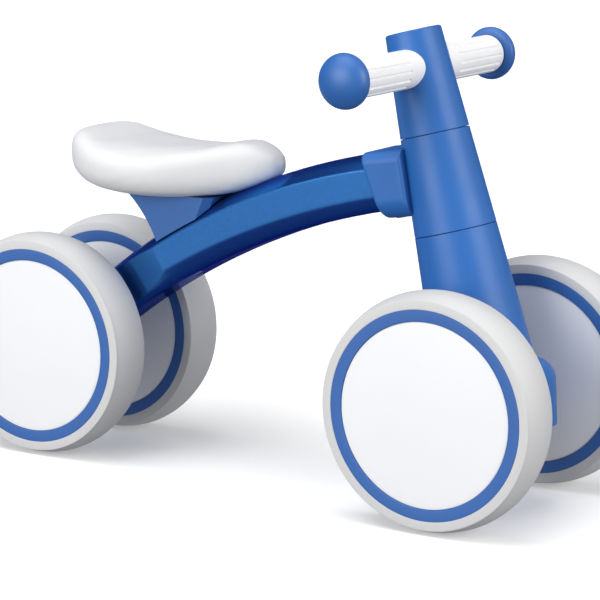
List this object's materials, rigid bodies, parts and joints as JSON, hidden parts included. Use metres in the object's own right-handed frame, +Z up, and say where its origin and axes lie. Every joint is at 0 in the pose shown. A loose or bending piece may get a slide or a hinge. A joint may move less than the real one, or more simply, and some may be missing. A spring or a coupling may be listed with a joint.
{
  "type": "four-wheel balance bike",
  "caption": "Toddler's balance bike: tapered steering column with straight handlebar on two front wheels, arched tube with saddle to two narrower-set rear wheels.",
  "frame": {"origin": "on the ground, midway between the front and rear axles, in the bike's middle plane", "axes": "+X forward, +Y to the rider's left, +Z up"},
  "size_m": [0.4992, 0.22, 0.3224],
  "materials": {
    "tyre": "satin",
    "core_plastic": "satin",
    "disc_plastic": "gloss",
    "ring_plastic": "satin",
    "nylon": "matt",
    "tube_paint": "metallic gloss",
    "column_plastic": "satin",
    "post_plastic": "satin",
    "seat_skin": "smooth satin",
    "grip_rubber": "satin",
    "knob_plastic": "satin",
    "steel": "zinc plated"
  },
  "bodies": {
    "frame": {"main_tube": "tube_paint", "tube_plug": "post_plastic", "rear_axle_tube": "tube_paint", "rear_axle": "steel", "rear_spacers": "steel", "rear_axle_washers": "steel", "rear_axle_nuts": "steel", "head_shell": "column_plastic", "head_bush_lower": "nylon", "head_bush_upper": "nylon", "stop_pin": "steel", "socket_screws": "steel", "seat_post": "post_plastic", "seat_plate": "core_plastic", "seat_cushion": "seat_skin", "seat_bolts": "steel", "seat_washers": "steel"},
    "steering": {"column_upper": "column_plastic", "column_cap": "column_plastic", "bar_clamp_screw": "steel", "steerer": "steel", "steerer_washer": "steel", "steerer_nut": "steel", "fork_shell": "column_plastic", "fork_base_cap": "column_plastic", "handlebar_tube": "steel", "grip_left": "grip_rubber", "grip_right": "grip_rubber", "knob_left": "knob_plastic", "knob_right": "knob_plastic", "front_axle": "steel", "front_spacers": "steel", "front_axle_washers": "steel", "front_axle_nuts": "steel"},
    "front_left_wheel": {"wheel_front_left_tyre": "tyre", "wheel_front_left_core": "core_plastic", "wheel_front_left_outer_disc": "disc_plastic", "wheel_front_left_inner_disc": "disc_plastic", "wheel_front_left_rings": "ring_plastic", "wheel_front_left_bushes": "nylon"},
    "front_right_wheel": {"wheel_front_right_tyre": "tyre", "wheel_front_right_core": "core_plastic", "wheel_front_right_outer_disc": "disc_plastic", "wheel_front_right_inner_disc": "disc_plastic", "wheel_front_right_rings": "ring_plastic", "wheel_front_right_bushes": "nylon"},
    "rear_left_wheel": {"wheel_rear_left_tyre": "tyre", "wheel_rear_left_core": "core_plastic", "wheel_rear_left_outer_disc": "disc_plastic", "wheel_rear_left_inner_disc": "disc_plastic", "wheel_rear_left_rings": "ring_plastic", "wheel_rear_left_bushes": "nylon"},
    "rear_right_wheel": {"wheel_rear_right_tyre": "tyre", "wheel_rear_right_core": "core_plastic", "wheel_rear_right_outer_disc": "disc_plastic", "wheel_rear_right_inner_disc": "disc_plastic", "wheel_rear_right_rings": "ring_plastic", "wheel_rear_right_bushes": "nylon"}
  },
  "joints": [
    {"name": "steering", "type": "hinge", "parent": "frame", "child": "steering", "pos_m": [0.1696, 0, 0.08], "axis": [-0.2597, 0, 0.9657], "range_deg": [-67.5, 67.5]},
    {"name": "front_left_spin", "type": "hinge", "parent": "steering", "child": "front_left_wheel", "pos_m": [0.1696, 0, 0.08], "axis": [0, 1, 0], "continuous": true},
    {"name": "front_right_spin", "type": "hinge", "parent": "steering", "child": "front_right_wheel", "pos_m": [0.1696, 0, 0.08], "axis": [0, 1, 0], "continuous": true},
    {"name": "rear_left_spin", "type": "hinge", "parent": "frame", "child": "rear_left_wheel", "pos_m": [-0.1696, 0, 0.08], "axis": [0, 1, 0], "continuous": true},
    {"name": "rear_right_spin", "type": "hinge", "parent": "frame", "child": "rear_right_wheel", "pos_m": [-0.1696, 0, 0.08], "axis": [0, 1, 0], "continuous": true}
  ]
}
